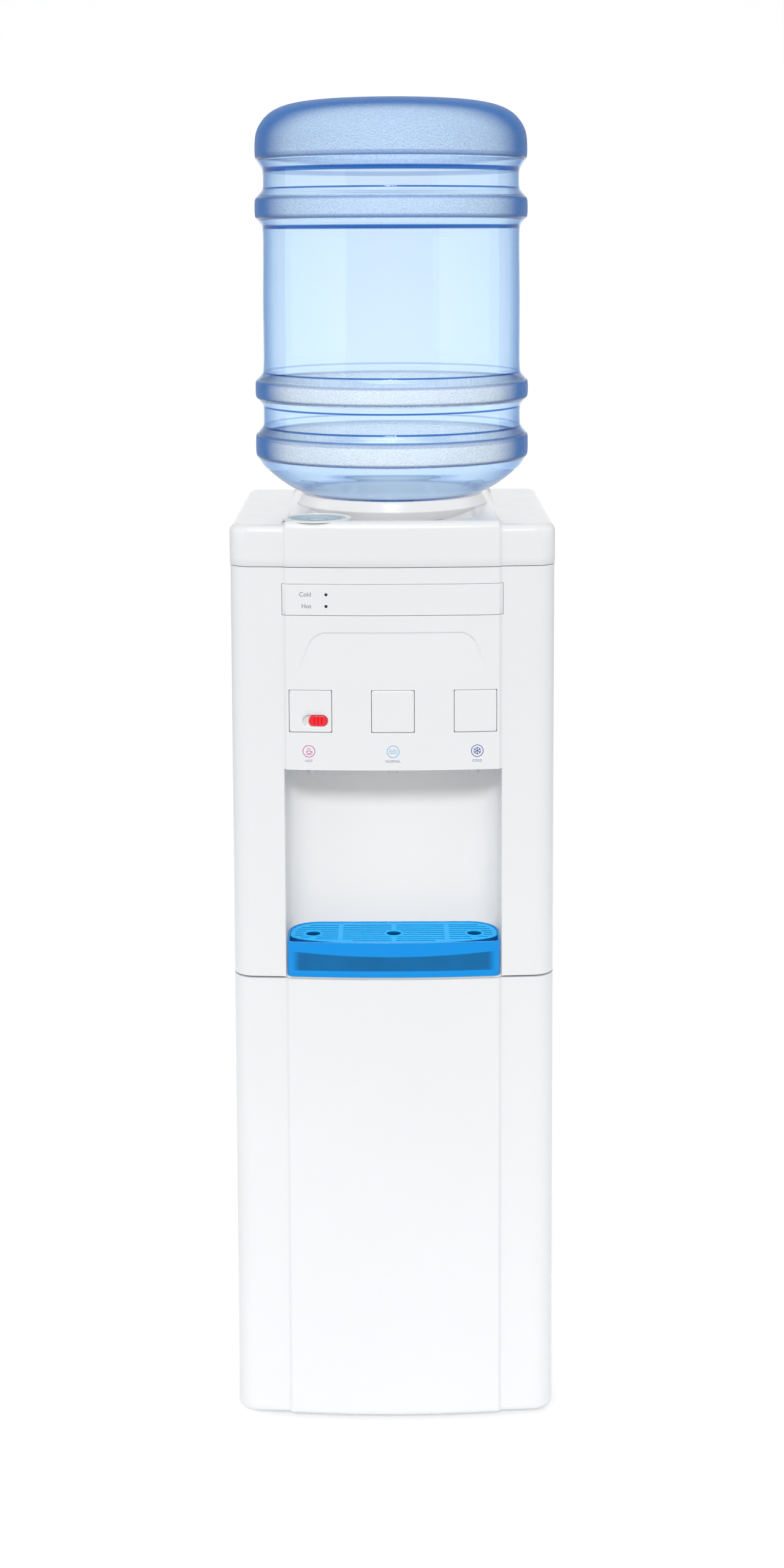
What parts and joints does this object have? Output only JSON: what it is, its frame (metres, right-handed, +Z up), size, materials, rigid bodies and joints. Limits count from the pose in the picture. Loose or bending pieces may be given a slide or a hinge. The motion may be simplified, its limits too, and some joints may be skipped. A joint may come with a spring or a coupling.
{
  "type": "bottled water dispenser",
  "caption": "Floor-standing water dispenser with push-button taps over a drip tray, a cooling cabinet behind the lower door and an upturned bottle in the collar of its deck.",
  "frame": {"origin": "on the floor, under the middle of the bounding box", "axes": "+Z up, the front with its taps and door faces -Y, the right-hand side as seen from the front is +X"},
  "size_m": [0.3254, 0.3396, 1.357],
  "materials": {
    "back_panel": "galvanised sheet",
    "base_pan": "galvanised sheet",
    "bottle": "clear blue polycarbonate, faintly frosted",
    "bottle_cap": "moulded",
    "bottle_collar": "moulded",
    "cabinet_insulation": "foamed",
    "cabinet_liner": "vacuum formed",
    "cabinet_shelf": "moulded",
    "child_lock_slider": "moulded",
    "cold_button": "moulded",
    "cold_hose": "clear silicone",
    "cold_lamp": "unlit lens",
    "cold_plunger": "moulded",
    "cold_rocker": "moulded",
    "cold_spring": "spring wire",
    "cold_tank": "drawn stainless",
    "cold_tap": "moulded",
    "compressor": "black enamel",
    "condenser": "black enamel",
    "cord_bush": "moulded",
    "deck_cap": "translucent grey blue",
    "door_gasket": "extruded",
    "door_liner": "vacuum formed",
    "door_panel": "moulded",
    "drain_cap": "moulded",
    "drain_outlet": "moulded",
    "drip_grille": "translucent blue",
    "drip_tray": "translucent blue",
    "feed_hose": "clear silicone",
    "front_fascia": "moulded",
    "front_left_foot": "moulded",
    "front_right_foot": "moulded",
    "hot_button": "moulded",
    "hot_hose": "clear silicone",
    "hot_lamp": "unlit lens",
    "hot_plunger": "moulded",
    "hot_rocker": "moulded",
    "hot_spring": "spring wire",
    "hot_tank": "drawn stainless",
    "hot_tap": "moulded",
    "label_plate": "polished",
    "left_side_panel": "white powder coat",
    "lower_hinge": "zinc plated",
    "mid_deck": "galvanised sheet",
    "normal_button": "moulded",
    "normal_hose": "clear silicone",
    "normal_plunger": "moulded",
    "normal_spring": "spring wire",
    "normal_tap": "moulded",
    "rear_left_foot": "moulded",
    "rear_right_foot": "moulded",
    "recess_liner": "moulded",
    "right_side_panel": "white powder coat",
    "switch_plate": "moulded",
    "tank_insulation": "foamed",
    "top_cover": "moulded",
    "upper_hinge": "zinc plated",
    "water_probe": "moulded"
  },
  "bodies": {
    "cabinet": {"back_panel": "back_panel", "base_pan": "base_pan", "bottle_collar": "bottle_collar", "cabinet_insulation": "cabinet_insulation", "cabinet_liner": "cabinet_liner", "cabinet_shelf": "cabinet_shelf", "cold_hose": "cold_hose", "cold_lamp": "cold_lamp", "cold_spring": "cold_spring", "cold_tank": "cold_tank", "cold_tap": "cold_tap", "compressor": "compressor", "condenser": "condenser", "cord_bush": "cord_bush", "drain_outlet": "drain_outlet", "feed_hose": "feed_hose", "front_fascia": "front_fascia", "front_left_foot": "front_left_foot", "front_right_foot": "front_right_foot", "hot_hose": "hot_hose", "hot_lamp": "hot_lamp", "hot_spring": "hot_spring", "hot_tank": "hot_tank", "hot_tap": "hot_tap", "label_plate": "label_plate", "left_side_panel": "left_side_panel", "lower_hinge": "lower_hinge", "mid_deck": "mid_deck", "normal_hose": "normal_hose", "normal_spring": "normal_spring", "normal_tap": "normal_tap", "rear_left_foot": "rear_left_foot", "rear_right_foot": "rear_right_foot", "recess_liner": "recess_liner", "right_side_panel": "right_side_panel", "switch_plate": "switch_plate", "tank_insulation": "tank_insulation", "top_cover": "top_cover", "upper_hinge": "upper_hinge", "water_probe": "water_probe"},
    "bottle": {"bottle": "bottle", "bottle_cap": "bottle_cap"},
    "door": {"door_panel": "door_panel", "door_liner": "door_liner", "door_gasket": "door_gasket"},
    "hot_button": {"hot_button": "hot_button", "hot_plunger": "hot_plunger"},
    "normal_button": {"normal_button": "normal_button", "normal_plunger": "normal_plunger"},
    "cold_button": {"cold_button": "cold_button", "cold_plunger": "cold_plunger"},
    "child_lock": {"child_lock_slider": "child_lock_slider"},
    "drip_tray": {"drip_tray": "drip_tray"},
    "drip_grille": {"drip_grille": "drip_grille"},
    "deck_cap": {"deck_cap": "deck_cap"},
    "hot_rocker": {"hot_rocker": "hot_rocker"},
    "cold_rocker": {"cold_rocker": "cold_rocker"},
    "drain_cap": {"drain_cap": "drain_cap"}
  },
  "joints": [
    {"name": "bottle_lift", "type": "slide", "parent": "cabinet", "child": "bottle", "axis": [0, 0, 1], "range_m": [0, 0.12]},
    {"name": "door_hinge", "type": "hinge", "parent": "cabinet", "child": "door", "pos_m": [0.151, -0.14012, 0.01], "axis": [0, 0, 1], "range_deg": [0, 110]},
    {"name": "hot_button_push", "type": "slide", "parent": "cabinet", "child": "hot_button", "axis": [0, 1, 0], "range_m": [0, 0.004], "stiffness_N_per_m": 600, "springref_m": -0.003},
    {"name": "normal_button_push", "type": "slide", "parent": "cabinet", "child": "normal_button", "axis": [0, 1, 0], "range_m": [0, 0.004], "stiffness_N_per_m": 600, "springref_m": -0.003},
    {"name": "cold_button_push", "type": "slide", "parent": "cabinet", "child": "cold_button", "axis": [0, 1, 0], "range_m": [0, 0.004], "stiffness_N_per_m": 600, "springref_m": -0.003},
    {"name": "child_lock_slide", "type": "slide", "parent": "hot_button", "child": "child_lock", "axis": [-1, 0, 0], "range_m": [0, 0.005]},
    {"name": "drip_tray_slide", "type": "slide", "parent": "cabinet", "child": "drip_tray", "axis": [0, -1, 0], "range_m": [0, 0.095]},
    {"name": "drip_grille_lift", "type": "slide", "parent": "drip_tray", "child": "drip_grille", "axis": [0, 0, 1], "range_m": [0, 0.03]},
    {"name": "deck_cap_lift", "type": "slide", "parent": "cabinet", "child": "deck_cap", "axis": [0, 0, 1], "range_m": [0, 0.022]},
    {"name": "hot_rocker_tilt", "type": "hinge", "parent": "cabinet", "child": "hot_rocker", "pos_m": [-0.104, 0.15518, 0.867], "axis": [1, 0, 0], "range_deg": [-14, 0]},
    {"name": "cold_rocker_tilt", "type": "hinge", "parent": "cabinet", "child": "cold_rocker", "pos_m": [-0.08, 0.15518, 0.867], "axis": [1, 0, 0], "range_deg": [-14, 0]},
    {"name": "drain_cap_pull", "type": "slide", "parent": "cabinet", "child": "drain_cap", "axis": [0, 1, 0], "range_m": [0, 0.02]}
  ]
}
